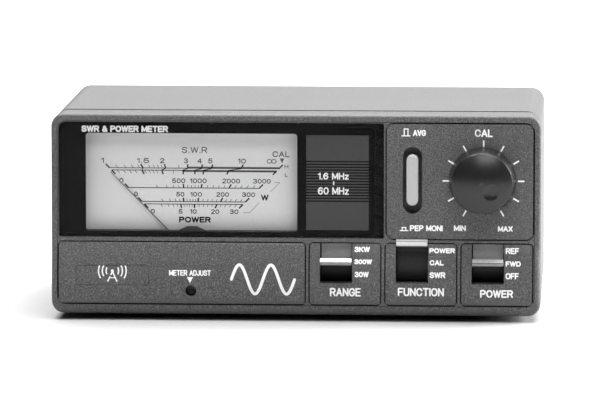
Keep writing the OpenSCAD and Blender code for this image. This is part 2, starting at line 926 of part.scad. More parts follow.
module switch_body(i) {
    w = switch_wall;
    inner_x = switch_x - w / 2;
    cavity = slider_y + slider_travel + 0.4;
    color([0.15, 0.15, 0.15]) at_lever(i) {
        for (s = [-1, 1]) translate([s * inner_x, 0, 0])
            block(-w / 2, w / 2, panel_y1 - lever_y, switch_back, -switch_z, switch_z);
        block(-inner_x, inner_x, switch_back - w, switch_back, -switch_z, switch_z);
        difference() {
            block(-inner_x, inner_x, -guide_y, guide_y, -guide_foot, -guide_top);
            block(-slider_x - fit, slider_x + fit, -cavity, cavity, -slider_foot - fit, 0);
        }
        across(2 * switch_x) circle(r = pin_r);
    }
}

// ---- boards, wires and coupler ----

module main_board() {
    color("darkgreen") in_case() difference() {
        block(-board_x, board_x, board_y0, case_d - 6, board_z0, board_z1);
        for (x = [-foot_x, foot_x], y = spacer_y) post(x, y, spacer_pin_r, -half_h, 0);
    }
}

module board_parts() {
    color("dimgray") in_case() {
        for (i = [0 : 2]) post(-52 + i * 13, 44, 4, board_z1, board_z1 + 8);
        for (i = [0 : 3]) block(2 + i * 12, 9 + i * 12, 42, 49, board_z1, board_z1 + 5);
        for (x = [-46, -22]) block(x, x + 10, 56, 62, board_z1, board_z1 + 3);
        for (i = [0 : 7]) translate([2 + i * 6, 58, board_z1 + 1.2]) rotate([0, 90, 90])
            cylinder(h = 6, r = 1.2, center = true);
    }
}

module board_spacers() {
    color("goldenrod") in_case() for (x = [-foot_x, foot_x], y = spacer_y) difference() {
        union() {
            post(x, y, spacer_r, floor_z1, board_z0);
            post(x, y, spacer_pin_r, board_z0 - eps, board_z1 + 2);
        }
        post(x, y, spacer_pin_r / 2, board_z1, 0);
    }
}

module signal_wires() {
    color("firebrick") in_case() {
        for (x = [-24, -20, 20, 24]) post(x, box_y0 + 10, wire_r, board_z1, box_z0);
        for (x = [dial_x - 4, dial_x + 4]) {
            rod(x, wire_z, wire_r, meter_y1, wire_y);
            translate([x, wire_y, wire_z]) sphere(r = wire_r);
            post(x, wire_y, wire_r, board_z1, wire_z);
        }
    }
}

module coupler_box() {
    t = box_t;
    color("silver") in_case() difference() {
        block(-box_x, box_x, box_y0, rear_y0, box_z0, box_z1);
        block(-box_x + t, box_x - t, box_y0 + t, rear_y0 - t, box_z0 + t, box_z1 + 1);
        for (x = [-socket_x, socket_x]) {
            rod(x, socket_z, socket_body_r, rear_y0 - 3, big);
            flange_holes(x);
        }
    }
}

module coupler_lid() {
    color("silver") in_case() block(-box_x, box_x, box_y0, rear_y0, box_z1, box_z1 + box_t);
}

module through_line() {
    color("goldenrod") in_case() translate([0, line_y, socket_z]) rotate([0, 90, 0]) {
        cylinder(h = 2 * socket_x + 4, r = line_r, center = true);
        for (s = [-1, 1]) translate([0, 0, s * core_x])
            cylinder(h = 2 * core_half + 3, r = ring_bore_r, center = true);
    }
}

module coupler_cores() {
    color("dimgray") in_case() for (s = [-1, 1])
        translate([s * core_x, line_y, socket_z]) rotate([0, 90, 0]) difference() {
            cylinder(h = 2 * core_half, r = ring_r, center = true);
            cylinder(h = 2 * core_half + 1, r = ring_bore_r, center = true);
        }
}

module coax_socket(x) {
    f = socket_flange / 2;
    color("silver") in_case() difference() {
        union() {
            plate(x - f, x + f, socket_z - f, socket_z + f, 1.5, rear_y1, flange_y);
            rod(x, socket_z, thread_r, flange_y - eps, thread_y1);
            rod(x, socket_z, socket_body_r, rear_y0 - box_t, rear_y1 + eps);
        }
        rod(x, socket_z, socket_bore_r, 0, big);
        flange_holes(x);
    }
}

module socket_insulators() {
    color("white") in_case() for (x = [-socket_x, socket_x]) difference() {
        rod(x, socket_z, socket_bore_r, rear_y0 - box_t, thread_y1 - socket_bore_l);
        rod(x, socket_z, contact_outer_r, 0, big);
    }
}

module socket_contacts() {
    color("gold") in_case() for (x = [-socket_x, socket_x]) difference() {
        union() {
            rod(x, socket_z, contact_outer_r, rear_y0 - box_t, contact_y1);
            rod(x, socket_z, line_r, line_y + line_r, rear_y0);
        }
        rod(x, socket_z, contact_r, contact_y1 - contact_l, big);
    }
}

module socket_screws() {
    color("silver") in_case() for (x = [-socket_x, socket_x], dx = [-flange_screw, flange_screw],
                                   dz = [-flange_screw, flange_screw])
        translate([x + dx, flange_y + head_h, socket_z + dz]) rotate([0, 0, 180]) screw(5);
}

module dc_jack() {
    color([0.1, 0.1, 0.1]) in_case() {
        difference() {
            union() {
                rod(jack_x, jack_z, jack_r, rear_y0 - eps, jack_y1);
                rod(jack_x, jack_z, jack_body_r, jack_y0, rear_y0);
            }
            rod(jack_x, jack_z, jack_bore_r, jack_y1 - jack_bore_l, big);
        }
        rod(jack_x, jack_z, jack_pin_r, jack_y1 - jack_bore_l - 0.5, jack_y1 - 1.5);
    }
}

module dc_jack_nut() {
    color("silver") in_case() difference() {
        translate([jack_x, rear_y1, jack_z]) rotate([-90, 0, 0]) cylinder(h = 1.8, r = 5.8, $fn = 6);
        rod(jack_x, jack_z, jack_r, 0, big);
    }
}

front_bezel();
control_panel();
display_window();
window_mask();
nameplate();
top_cover();
bottom_chassis();
rear_panel();
rubber_feet();
cover_screws();
bezel_screws();
rear_screws();
meter_case();
meter_cover();
dial_plate();
movement_shroud();
magnet_yoke();
core_magnet();
core_holder();
movement_bridge();
pointer();
moving_coil();
hairspring();
zero_arm();
zero_screw();
meter_lamps();
cal_knob();
pot_shaft();
cal_pot();
pot_nut();
push_button();
button_plunger();
button_switch();
switch_body(0);  // range_switch
switch_body(1);  // function_switch
switch_body(2);  // power_switch
lever(0, 0);  // range_lever
lever(1, -lever_up);  // function_lever
lever(2, 0);  // power_lever
lever_tip(0, 0);  // range_tip
lever_tip(1, -lever_up);  // function_tip
lever_tip(2, 0);  // power_tip
slider(0, 0);  // range_slider
slider(1, -slider_travel);  // function_slider
slider(2, 0);  // power_slider
main_board();
board_parts();
board_spacers();
signal_wires();
coupler_box();
coupler_lid();
through_line();
coupler_cores();
coax_socket(-socket_x);  // tx_socket
coax_socket(socket_x);  // antenna_socket
socket_insulators();
socket_contacts();
socket_screws();
dc_jack();
dc_jack_nut();
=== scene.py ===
"""The looks of the desktop SWR meter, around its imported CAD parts.

Lengths in the tables are millimetres in the case's own axes: x from the middle to the right, y from the upper
front face to the back, z from half the height of the case upwards. at() turns them into the part's metres.
"""

import json
import math

import bpy
import bmesh
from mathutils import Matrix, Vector


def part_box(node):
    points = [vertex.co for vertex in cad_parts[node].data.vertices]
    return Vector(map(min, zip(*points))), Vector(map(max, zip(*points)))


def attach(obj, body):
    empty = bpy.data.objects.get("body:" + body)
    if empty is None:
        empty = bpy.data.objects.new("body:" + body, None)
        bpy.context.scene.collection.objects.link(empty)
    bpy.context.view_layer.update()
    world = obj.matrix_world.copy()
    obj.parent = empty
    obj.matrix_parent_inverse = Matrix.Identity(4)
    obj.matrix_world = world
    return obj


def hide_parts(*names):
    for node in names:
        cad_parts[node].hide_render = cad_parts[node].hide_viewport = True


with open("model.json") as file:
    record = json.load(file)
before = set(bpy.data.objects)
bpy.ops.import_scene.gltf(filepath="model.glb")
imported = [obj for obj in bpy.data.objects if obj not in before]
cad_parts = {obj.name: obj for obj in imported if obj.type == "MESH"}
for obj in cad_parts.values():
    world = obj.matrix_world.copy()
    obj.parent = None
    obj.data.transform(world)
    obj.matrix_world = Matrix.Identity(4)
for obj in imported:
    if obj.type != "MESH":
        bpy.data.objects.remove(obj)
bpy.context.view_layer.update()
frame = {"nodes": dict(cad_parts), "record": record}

MM = 0.001

# Depth of the front frame, and the top of the cover above half the height of the case
BEZEL_DEPTH = 12.5
COVER_TOP = 32.45
# The front surface of the control panel: flat above RIB_Z, an arc that swells forward below it
PANEL_Y = -0.2
RIB_Z = -7.8
SWELL_R = 58.0
SWELL_Z = -23.0
SWELL_Y = PANEL_Y + math.sqrt(SWELL_R ** 2 - (RIB_Z - SWELL_Z) ** 2)
# How far behind that surface the nameplate's front lies, and the backs of the painted shade in the grooves
PLATE_SINK = 0.05
GROOVE_SINK = 0.58
# Thickness of the meter cover's front wall
METER_FRONT = 1.0

cover_low, cover_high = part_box("top_cover")
CASE = Vector((0.0, cover_low.y - BEZEL_DEPTH * MM, cover_high.z - COVER_TOP * MM))
BODY_OF = {node: body for body, nodes in frame["record"]["behaviour"]["bodies"].items() for node in nodes}
SLOT_OF = {row["node"]: row["material_slot"] for row in frame["record"]["subparts"]}


def at(x, y, z):
    return CASE + Vector((x, y, z)) * MM


def panel_surface(z):
    """The front surface of the control panel at that height."""
    if z > RIB_Z:
        return PANEL_Y
    return SWELL_Y - math.sqrt(SWELL_R ** 2 - (z - SWELL_Z) ** 2)


def nameplate_surface(z):
    return panel_surface(z) + PLATE_SINK


def groove_surface(z):
    """Just in front of the floors of the panel's grooves."""
    return panel_surface(z) + GROOVE_SINK


def plane(y):
    """A flat upright surface at depth y."""
    return lambda z: y


def front_of(node):
    """The depth of that node's foremost point."""
    return (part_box(node)[0].y - CASE.y) / MM


# ---- materials ----

NOISE_DETAIL = 2.0
BEVEL_SAMPLES = 4
# Moulded texture: height and strength of its grain, its gloss, the rounding of its edges, and where its tones
# lie on the ramp
TEXTURE_HEIGHT = 0.03
TEXTURE_STRENGTH = 0.4
TEXTURE_SPECULAR = 0.3
TEXTURE_EDGE = 0.1
DARK_AT, MIDDLE_AT, LIGHT_AT, SPECK_AT = 0.36, 0.5, 0.62, 0.72
# The bright specks differ from the middle tone by so many times the spread
SPECK_GAIN = 4
# The levers' drums: roughness, grain, half the width of the step from the painted light above to the
# painted shade below, and the tones' spread
DRUM_ROUGH = 0.5
DRUM_GRAIN = 0.25
DRUM_SHADE_STEP = 0.3
DRUM_LOW, DRUM_HIGH = 0.4, 1.6
# Smooth materials: where both tones lie on the ramp, strength of the bump, and spread of the roughness
PLAIN_DARK_AT, PLAIN_LIGHT_AT = 0.3, 0.7
PLAIN_STRENGTH = 0.6
ROUGH_SPREAD = 0.06
ROUGH_LEAST = 0.02


class Look:
    """One procedural material: a Principled shader with its texture in the object's own axes."""

    def __init__(self, name, rough, metal=0.0, specular=0.5):
        self.m = bpy.data.materials.new(name)
        self.m.use_nodes = True
        self.nodes = self.m.node_tree.nodes
        self.links = self.m.node_tree.links
        self.shader = self.nodes["Principled BSDF"]
        self.shader.inputs["Roughness"].default_value = rough
        self.shader.inputs["Metallic"].default_value = metal
        self.shader.inputs["Specular IOR Level"].default_value = specular
        self.place = self.nodes.new("ShaderNodeTexCoord").outputs["Object"]
        self.normal = None

    def noise(self, grain_mm, stretch=None):
        node = self.nodes.new("ShaderNodeTexNoise")
        node.inputs["Scale"].default_value = 1.0 / (grain_mm * MM)
        node.inputs["Detail"].default_value = NOISE_DETAIL
        place = self.place
        if stretch:
            mapping = self.nodes.new("ShaderNodeMapping")
            mapping.inputs["Scale"].default_value = stretch
            self.links.new(place, mapping.inputs["Vector"])
            place = mapping.outputs["Vector"]
        self.links.new(place, node.inputs["Vector"])
        return node.outputs["Fac"]

    def spread(self, source, low, high):
        """A texture's values from 0 to 1, turned into values from low to high."""
        node = self.nodes.new("ShaderNodeMapRange")
        node.inputs["To Min"].default_value = low
        node.inputs["To Max"].default_value = high
        self.links.new(source, node.inputs["Value"])
        return node

    def colour(self, source, *stops):
        """Colour from a texture: stops are (place on the ramp, grey value or colour)."""
        ramp = self.nodes.new("ShaderNodeValToRGB")
        while len(ramp.color_ramp.elements) < len(stops):
            ramp.color_ramp.elements.new(0.5)
        for element, (place, value) in zip(ramp.color_ramp.elements, stops):
            element.position = place
            rgb = value if isinstance(value, tuple) else (value, value, value)
            element.color = (*rgb, 1.0)
        self.links.new(source, ramp.inputs["Fac"])
        self.links.new(ramp.outputs["Color"], self.shader.inputs["Base Color"])

    def roughness(self, source, low, high):
        self.links.new(self.spread(source, low, high).outputs["Result"], self.shader.inputs["Roughness"])

    def soft_edges(self, radius_mm):
        """Rounds the edges in the shading, under the bump that is added next."""
        node = self.nodes.new("ShaderNodeBevel")
        node.samples = BEVEL_SAMPLES
        node.inputs["Radius"].default_value = radius_mm * MM
        self.normal = node.outputs["Normal"]

    def bump(self, source, height_mm, strength):
        node = self.nodes.new("ShaderNodeBump")
        node.inputs["Strength"].default_value = strength
        node.inputs["Distance"].default_value = height_mm * MM
        self.links.new(source, node.inputs["Height"])
        if self.normal:
            self.links.new(self.normal, node.inputs["Normal"])
        self.links.new(node.outputs["Normal"], self.shader.inputs["Normal"])


def textured_grey(name, grey, spread, grain_mm, rough):
    """Grained plastic or paint in neutral grey, with brighter specks."""
    look = Look(name, rough=rough, specular=TEXTURE_SPECULAR)
    grain = look.noise(grain_mm)
    look.colour(grain, (DARK_AT, grey * (1 - spread)), (MIDDLE_AT, grey), (LIGHT_AT, grey * (1 + spread)),
                (SPECK_AT, grey * (1 + SPECK_GAIN * spread)))
    look.soft_edges(TEXTURE_EDGE)
    look.bump(grain, TEXTURE_HEIGHT, TEXTURE_STRENGTH)
    return look.m


def painted_shade_drum(name, upper, lower, shade_edge_z):
    """Textured plastic with painted light above a height of the resting part and painted shade below it."""
    look = Look(name, rough=DRUM_ROUGH, specular=TEXTURE_SPECULAR)
    grain = look.noise(DRUM_GRAIN)
    split = look.nodes.new("ShaderNodeSeparateXYZ")
    look.links.new(look.place, split.inputs["Vector"])
    step = look.spread(split.outputs["Z"], lower, upper)
    edge = at(0, 0, shade_edge_z).z
    step.inputs["From Min"].default_value = edge - DRUM_SHADE_STEP * MM
    step.inputs["From Max"].default_value = edge + DRUM_SHADE_STEP * MM
    tone = look.nodes.new("ShaderNodeMath")
    tone.operation = "MULTIPLY"
    look.links.new(step.outputs["Result"], tone.inputs[0])
    look.links.new(look.spread(grain, DRUM_LOW, DRUM_HIGH).outputs["Result"], tone.inputs[1])
    look.links.new(tone.outputs["Value"], look.shader.inputs["Base Color"])
    look.bump(grain, TEXTURE_HEIGHT, TEXTURE_STRENGTH)
    return look.m


def plain(name, rgb, rough, metal=0.0, grain_mm=0.5, spread=0.12, height_mm=0.004, specular=0.5, stretch=None,
          edge_mm=0.12):
    """A smooth material with a faint grain in its colour, roughness and surface."""
    look = Look(name, rough=rough, metal=metal, specular=specular)
    grain = look.noise(grain_mm, stretch)
    dark = tuple(c * (1 - spread) for c in rgb)
    light = tuple(min(1.0, c * (1 + spread)) for c in rgb)
    look.colour(grain, (PLAIN_DARK_AT, dark), (PLAIN_LIGHT_AT, light))
    look.roughness(grain, max(rough - ROUGH_SPREAD, ROUGH_LEAST), rough + ROUGH_SPREAD)
    if edge_mm:
        look.soft_edges(edge_mm)
    look.bump(grain, height_mm, PLAIN_STRENGTH)
    return look.m


def ink(name, grey, spread):
    """A printed layer: flat, without rounded edges and hardly glossy."""
    return plain(name, (grey, grey, grey), rough=0.6, spread=spread, height_mm=0.001, specular=0.05,
                 edge_mm=0.0)


def clear(name, gloss_rough, reflect, sheen):
    """A thin clear sheet: it lets light straight through and mirrors a little, more at a flat angle."""
    m = bpy.data.materials.new(name)
    m.use_nodes = True
    nodes, links = m.node_tree.nodes, m.node_tree.links
    nodes.clear()
    out = nodes.new("ShaderNodeOutputMaterial")
    mix = nodes.new("ShaderNodeMixShader")
    through = nodes.new("ShaderNodeBsdfTransparent")
    through.inputs["Color"].default_value = (1.0, 1.0, 1.0, 1.0)
    gloss = nodes.new("ShaderNodeBsdfGlossy")
    gloss.inputs["Roughness"].default_value = gloss_rough
    fresnel = nodes.new("ShaderNodeFresnel")
    fresnel.inputs["IOR"].default_value = reflect
    share = nodes.new("ShaderNodeMath")
    share.operation = "MULTIPLY"
    share.inputs[1].default_value = sheen
    links.new(fresnel.outputs["Fac"], share.inputs[0])
    links.new(share.outputs["Value"], mix.inputs["Fac"])
    links.new(through.outputs["BSDF"], mix.inputs[1])
    links.new(gloss.outputs["BSDF"], mix.inputs[2])
    links.new(mix.outputs["Shader"], out.inputs["Surface"])
    return m


GREY = textured_grey("panel_grey", 0.088, 0.6, 0.24, 0.5)
PAINT = textured_grey("cover_paint", 0.107, 0.4, 0.22, 0.45)
SLOT_GREY = textured_grey("slot_grey", 0.06, 0.3, 0.3, 0.5)
# Black ink of the mask's print; the same ink lays painted shade on the floors of the panel's grooves
BLACK_INK_AND_GROOVE_SHADE = ink("mask_black_and_groove_shade", 0.005, 0.3)
BLACK = plain("black_plastic", (0.02, 0.02, 0.02), 0.45, spread=0.25)
KNOB = plain("knob_black", (0.009, 0.009, 0.009), 0.3, grain_mm=0.3, spread=0.3, height_mm=0.003)
WHITE_INK = ink("white_print", 0.9, 0.02)
DIAL_INK = ink("dial_print", 0.012, 0.2)
NEEDLE = plain("pointer_grey", (0.16, 0.16, 0.16), 0.5, spread=0.15, edge_mm=0.0)
# Grey ink of the dial's print; the same ink draws the painted dark reflection on the chromed lever tips
SOFT_INK_AND_TIP_REFLECTION = ink("dial_print_grey_and_tip_reflection", 0.12, 0.15)
BAND_INK = ink("band_print", 0.07, 0.1)
DIAL = plain("dial_white", (0.84, 0.84, 0.84), 0.7, grain_mm=0.8, spread=0.02, height_mm=0.001, specular=0.1)
BUTTON = plain("button_grey", (0.43, 0.43, 0.43), 0.4, spread=0.05)
CHROME = plain("tip_chrome", (0.85, 0.85, 0.85), 0.3, metal=0.75, spread=0.04, height_mm=0.001, edge_mm=0.0)
STEEL = plain("plated_steel", (0.55, 0.55, 0.53), 0.3, metal=1.0, stretch=(1, 8, 8))
NICKEL = plain("bright_nickel", (0.7, 0.68, 0.62), 0.18, metal=1.0, spread=0.08, height_mm=0.002)
GOLD = plain("gold_plate", (0.83, 0.62, 0.28), 0.2, metal=1.0, spread=0.06)
BRASS = plain("movement_brass", (0.66, 0.5, 0.26), 0.3, metal=1.0, stretch=(1, 1, 8))
IRON = plain("soft_iron", (0.22, 0.22, 0.22), 0.45, metal=1.0)
COPPER = plain("coil_copper", (0.55, 0.24, 0.12), 0.35, metal=1.0, grain_mm=0.2, spread=0.3)
RUBBER = plain("foot_rubber", (0.03, 0.03, 0.03), 0.8, spread=0.2, height_mm=0.01)
NYLON = plain("natural_nylon", (0.72, 0.7, 0.64), 0.5, spread=0.05)
BOARD = plain("solder_mask", (0.02, 0.12, 0.05), 0.35, grain_mm=1.5, spread=0.3)
CHIP = plain("part_case", (0.05, 0.05, 0.055), 0.5)
SLEEVE = plain("wire_sleeve", (0.35, 0.03, 0.02), 0.4)
ACRYLIC = clear("window_acrylic", 0.03, 1.3, 0.4)
STYRENE = clear("meter_styrene", 0.05, 1.3, 0.06)
LAMP = clear("lamp_glass", 0.05, 1.45, 1.0)

LOOK_OF_SLOT = {
    "panel_plastic": GREY, "lever_plastic": GREY, "case_paint": PAINT, "window_acrylic": ACRYLIC,
    "mask_print": BLACK_INK_AND_GROOVE_SHADE, "nameplate_metal": GREY, "chassis_steel": STEEL, "foot_rubber": RUBBER,
    "screw_steel": STEEL, "black_screw": BLACK, "black_plastic": BLACK, "clear_styrene": STYRENE,
    "dial_white": DIAL, "soft_iron": IRON, "movement_brass": BRASS, "pointer_black": NEEDLE,
    "coil_copper": COPPER, "lamp_glass": LAMP, "knob_black": KNOB, "pot_metal": STEEL,
    "button_grey": BUTTON, "tip_chrome": CHROME, "slider_nylon": NYLON, "circuit_board": BOARD,
    "part_case": CHIP, "wire_sleeve": SLEEVE, "socket_nickel": NICKEL, "contact_gold": GOLD,
}

# Where a lever's drum turns from painted light above to painted shade below: at the tip of a lever in its
# middle place, and below a raised one
MIDDLE_TIP_Z = -14.1
RAISED_SHADE_EDGE_Z = -9.6
LEVER_MIDDLE_PAINTED_SHADE = painted_shade_drum("lever_middle_painted_shade", 0.5, 0.012, MIDDLE_TIP_Z)
LEVER_RAISED_PAINTED_SHADE = painted_shade_drum("lever_raised_painted_shade", 0.1, 0.02, RAISED_SHADE_EDGE_Z)
LOOK_OF_NODE = {"button_switch": SLOT_GREY, "range_lever": LEVER_MIDDLE_PAINTED_SHADE, "power_lever": LEVER_MIDDLE_PAINTED_SHADE,
                "function_lever": LEVER_RAISED_PAINTED_SHADE}


def look_of(node):
    return LOOK_OF_NODE.get(node) or LOOK_OF_SLOT[SLOT_OF[node]]


# ---- pieces shown in place of CAD nodes ----

# Vertices closer than WELD metres are joined, faces that meet at less than FLAT degrees are merged, and edges
# over SHARP degrees stay sharp or are rounded in EDGE_SEGMENTS
WELD = 1e-6
FLAT = 0.5
SHARP = 32
EDGE_SEGMENTS = 2

# The CAD nodes that are shown as finer copies, with the rounding of their edges
FINER = {
    "control_panel": 0.1, "front_bezel": 0.12, "top_cover": 0.1, "display_window": 0.08, "cal_knob": 0.2,
    "push_button": 0.4, "range_lever": 0.0, "function_lever": 0.0, "power_lever": 0.0, "nameplate": 0.06,
    "rubber_feet": 0.4, "rear_panel": 0.1, "dc_jack": 0.15, "zero_screw": 0.1, "movement_shroud": 0.2,
    "cover_screws": 0.1, "rear_screws": 0.1, "bezel_screws": 0.1, "socket_screws": 0.1,
    "socket_insulators": 0.1, "socket_contacts": 0.1, "dc_jack_nut": 0.1, "tx_socket": 0.1,
    "antenna_socket": 0.1,
}


def new_object(name, bm):
    mesh = bpy.data.meshes.new(name)
    bm.to_mesh(mesh)
    bm.free()
    obj = bpy.data.objects.new(name, mesh)
    bpy.context.scene.collection.objects.link(obj)
    return obj


def dress(obj, material):
    obj.data.materials.clear()
    obj.data.materials.append(material)


def dress_cad_nodes():
    for name, obj in frame["nodes"].items():
        dress(obj, look_of(name))


def merge_flat_faces(bm):
    bmesh.ops.dissolve_limit(bm, angle_limit=math.radians(FLAT), verts=bm.verts, edges=bm.edges)


def finer(node, edge_mm):
    """Shows in the CAD node's place a copy with clean faces, smooth curves and edges rounded by edge_mm."""
    bm = bmesh.new()
    bm.from_mesh(frame["nodes"][node].data)
    bmesh.ops.remove_doubles(bm, verts=bm.verts, dist=WELD)
    merge_flat_faces(bm)
    obj = new_object(node + "_fine", bm)
    dress(obj, look_of(node))
    for polygon in obj.data.polygons:
        polygon.use_smooth = True
    obj.data.set_sharp_from_angle(angle=math.radians(SHARP))
    if edge_mm:
        rounding = obj.modifiers.new("edges", "BEVEL")
        rounding.width = edge_mm * MM
        rounding.segments = EDGE_SEGMENTS
        rounding.limit_method = "ANGLE"
        rounding.angle_limit = math.radians(SHARP)
        rounding.harden_normals = True
    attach(obj, BODY_OF[node])
    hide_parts(node)


def meter_front():
    """Shows the clear meter cover as its flat front wall alone: its side walls are left out of the looks."""
    low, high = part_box("meter_cover")
    back = low.y + METER_FRONT * MM
    corners = [(x, y, z) for x in (low.x, high.x) for y in (low.y, back) for z in (low.z, high.z)]
    bm = bmesh.new()
    bmesh.ops.convex_hull(bm, input=[bm.verts.new(corner) for corner in corners])
    merge_flat_faces(bm)
    obj = new_object("meter_front", bm)
    dress(obj, STYRENE)
    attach(obj, "case")
    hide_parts("meter_cover")


# ---- flat shapes ----

DOT_CORNERS = 8
ARC_STEPS = 10


def outline(points):
    """A flat shape from its corners in x and z, turned anticlockwise as seen from the front."""
    area = sum(a[0] * b[1] - b[0] * a[1] for a, b in zip(points, points[1:] + points[:1]))
    return points if area > 0 else points[::-1]


def bar(x0, x1, z0, z1):
    return outline([(x0, z0), (x1, z0), (x1, z1), (x0, z1)])


def dot(x, z, r):
    turns = [math.tau * i / DOT_CORNERS for i in range(DOT_CORNERS)]
    return outline([(x + r * math.cos(a), z + r * math.sin(a)) for a in turns])


def stroke(x0, z0, x1, z1, w):
    """A straight stroke of width w from (x0, z0) to (x1, z1)."""
    run = Vector((x1 - x0, z1 - z0)).normalized() * w / 2
    return outline([(x0 + run.y, z0 - run.x), (x1 + run.y, z1 - run.x), (x1 - run.y, z1 + run.x),
                    (x0 - run.y, z0 + run.x)])


def strokes(points, w):
    return [stroke(*a, *b, w) for a, b in zip(points, points[1:])]


def dots(points, w):
    return [dot(*point, w / 2) for point in points]


def arc(x, z, r, first, last, w):
    """An arc round (x, z) between two angles in degrees, as strokes of width w."""
    turns = [math.radians(first + (last - first) * i / ARC_STEPS) for i in range(ARC_STEPS + 1)]
    return strokes([(x + r * math.cos(a), z + r * math.sin(a)) for a in turns], w)


# ---- prints ----

# Thickness of the ink, and the small steps by which parts of one print differ in it
INK = 0.02
PRINT_STEP = 0.002
PRINT_STEPS = 9


def print_on(name, parts, surface, material, body="case", thick=INK):
    """Lays flat parts on surface(z) as thin closed plates. Neighbours differ a little in thickness, so that
    no two faces share a plane where they overlap."""
    bm = bmesh.new()
    for i, points in enumerate(parts):
        lift = thick + PRINT_STEP * (i % PRINT_STEPS)
        front = [bm.verts.new(at(x, surface(z) - lift, z)) for x, z in points]
        back = [bm.verts.new(at(x, surface(z), z)) for x, z in points]
        bm.faces.new(front)
        bm.faces.new(back[::-1])
        for a, b, c, d in zip(front, front[1:] + front[:1], back[1:] + back[:1], back):
            bm.faces.new((b, a, d, c))
    obj = new_object(name, bm)
    dress(obj, material)
    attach(obj, body)


# ---- letters ----

CHAR_H = 6.0
CHAR_SPACE = 1.7
WORD_SPACE = 3.0
# The least width of a word, because the strokes of some characters have none
WORD_LEAST = 0.1
# Each character as strokes on a grid that is CHAR_H high: width, then the corners of each stroke
GLYPHS = {
    "A": (4.4, "0,0 2.2,6 4.4,0", "0.8,2 3.6,2"),
    "C": (4.2, "4.2,4.3 3.5,5.6 2.2,6 0.9,5.6 0,4.2 0,1.8 0.9,0.4 2.2,0 3.5,0.4 4.2,1.7"),
    "D": (4.1, "0,0 0,6 2.1,6 3.5,5.4 4.1,4.1 4.1,1.9 3.5,0.6 2.1,0 0,0"),
    "E": (3.6, "3.6,6 0,6 0,0 3.6,0", "0,3.1 3.2,3.1"),
    "F": (3.4, "3.4,6 0,6 0,0", "0,3 3,3"),
    "G": (4.3, "4.2,4.4 3.5,5.6 2.2,6 0.9,5.6 0,4.2 0,1.8 0.9,0.4 2.2,0 3.5,0.4 4.3,1.4 4.3,2.8 2.5,2.8"),
    "H": (4.0, "0,0 0,6", "4,0 4,6", "0,3.1 4,3.1"),
    "I": (0.0, "0,0 0,6"),
    "J": (3.0, "3,6 3,1.4 2.4,0.3 1.5,0 0.6,0.3 0,1.4"),
    "K": (4.0, "0,0 0,6", "3.8,6 0,2.2", "1.4,3.5 4,0"),
    "L": (3.2, "0,6 0,0 3.2,0"),
    "M": (4.8, "0,0 0,6 2.4,0.8 4.8,6 4.8,0"),
    "N": (4.0, "0,0 0,6 4,0 4,6"),
    "O": (4.5, "2.25,6 0.9,5.6 0,4.2 0,1.8 0.9,0.4 2.25,0 3.6,0.4 4.5,1.8 4.5,4.2 3.6,5.6 2.25,6"),
    "P": (3.9, "0,0 0,6 2.5,6 3.6,5.5 3.9,4.4 3.6,3.3 2.5,2.8 0,2.8"),
    "R": (4.0, "0,0 0,6 2.6,6 3.7,5.5 4,4.4 3.7,3.4 2.6,2.9 0,2.9", "2.3,2.9 4,0"),
    "S": (4.0, "3.9,4.6 3.3,5.7 2,6 0.7,5.7 0.1,4.6 0.6,3.6 2,3.1 3.4,2.6 4,1.5 3.3,0.3 2,0 0.7,0.3 0,1.5"),
    "T": (4.0, "0,6 4,6", "2,6 2,0"),
    "U": (4.0, "0,6 0,1.6 0.7,0.3 2,0 3.3,0.3 4,1.6 4,6"),
    "V": (4.2, "0,6 2.1,0 4.2,6"),
    "W": (6.0, "0,6 1.5,0 3,6 4.5,0 6,6"),
    "X": (4.0, "0,6 4,0", "0,0 4,6"),
    "z": (2.8, "0,4 2.8,4 0,0 2.8,0"),
    "&": (4.2, "4.2,0 1.1,4.2 1,5.3 1.9,6 2.8,5.3 2.6,4.3 0.5,2.5 0,1.4 0.6,0.3 1.8,0 3.1,0.7 4,2.8"),
    ".": (0.2, "0,0 0.2,0"),
    "0": (3.8, "1.9,6 0.7,5.4 0,4 0,2 0.7,0.6 1.9,0 3.1,0.6 3.8,2 3.8,4 3.1,5.4 1.9,6"),
    "1": (1.5, "0,4.7 1.5,6 1.5,0"),
    "2": (3.9, "0.1,4.6 0.8,5.7 2,6 3.2,5.7 3.8,4.5 3.3,3.3 0.6,1.2 0,0 3.9,0"),
    "3": (3.9, "0.1,4.8 0.8,5.8 2,6 3.2,5.6 3.6,4.6 3.1,3.5 1.6,3.2",
          "1.6,3.2 3.3,2.8 3.9,1.6 3.2,0.3 1.9,0 0.6,0.3 0,1.4"),
    "4": (4.0, "3,0 3,6 0,1.7 4,1.7"),
    "5": (3.9, "3.6,6 0.7,6 0.3,3.1 2,3.8 3.3,3.4 3.9,2 3.3,0.5 1.9,0 0.7,0.3 0,1.4"),
    "6": (3.8, "3.6,4.9 3.1,5.7 1.9,6 0.8,5.4 0,3.8 0,2 0.7,0.4 1.9,0 3.1,0.4 3.8,1.9 3.2,3.2 1.9,3.7 "
          "0.7,3.1 0,2"),
}


def lettering(words, x0, x1, z0, z1, w):
    """The words in strokes of width w that fill the box from (x0, z0) to (x1, z1)."""
    pen, runs = 0.0, []
    for char in words:
        if char == " ":
            pen += WORD_SPACE
            continue
        width, *glyph = GLYPHS[char]
        for text in glyph:
            corners = [tuple(map(float, pair.split(","))) for pair in text.split()]
            runs.append([(pen + x, z) for x, z in corners])
        pen += width + CHAR_SPACE
    across = (x1 - x0 - w) / max(pen - CHAR_SPACE, WORD_LEAST)
    up = (z1 - z0 - w) / CHAR_H
    parts = []
    for run in runs:
        points = [(x0 + w / 2 + x * across, z0 + w / 2 + z * up) for x, z in run]
        parts += strokes(points, w) + dots(points, w)
    return parts


def all_lettering(table):
    return [part for row in table for part in lettering(*row)]


# ---- control panel ----

# Widths of the letters' strokes
SMALL, MIDDLE, LARGE = 0.34, 0.42, 0.5
